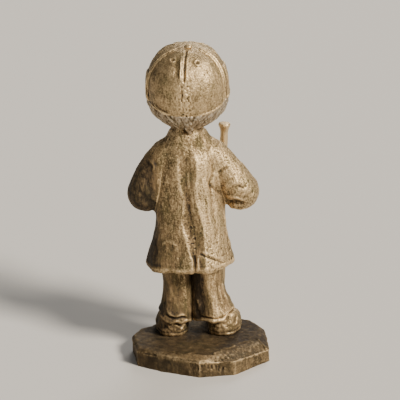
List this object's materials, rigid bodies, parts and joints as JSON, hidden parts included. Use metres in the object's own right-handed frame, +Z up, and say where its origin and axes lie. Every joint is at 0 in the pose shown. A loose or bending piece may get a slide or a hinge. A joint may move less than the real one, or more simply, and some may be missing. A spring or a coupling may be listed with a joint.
{
  "type": "cast metal child figurine",
  "caption": "Cast metal figurine of a child seen in a ball cap and long jersey, holding a bat, on a flat-bottomed faceted rock base.",
  "frame": {"origin": "centre of the overall box, at the height of the base's flat underside", "axes": "+Z up, -Y the way the figure faces, +X towards the figure's own left hand"},
  "size_m": [0.038, 0.0386, 0.0873],
  "materials": {
    "pewter": "antique patina, worn bright on the high spots",
    "bright_pewter": "antique patina, rubbed brighter",
    "stone_pewter": "dark antique patina, chipped edges bright",
    "pin_metal": "drawn"
  },
  "bodies": {
    "root": {"rock_base": "stone_pewter", "left_shoe": "pewter", "right_shoe": "pewter", "left_trouser_leg": "pewter", "right_trouser_leg": "pewter", "jersey": "pewter", "left_sleeve": "pewter", "right_sleeve": "pewter", "left_hand": "bright_pewter", "right_hand": "bright_pewter", "bat": "bright_pewter", "neck": "bright_pewter", "head": "bright_pewter", "hair": "pewter", "cap_crown": "pewter", "cap_visor": "pewter", "cap_button": "pewter", "neck_pin": "pin_metal", "left_foot_pin": "pin_metal", "right_foot_pin": "pin_metal", "left_hip_pin": "pin_metal", "right_hip_pin": "pin_metal", "left_arm_pin": "pin_metal", "right_arm_pin": "pin_metal"}
  },
  "joints": []
}
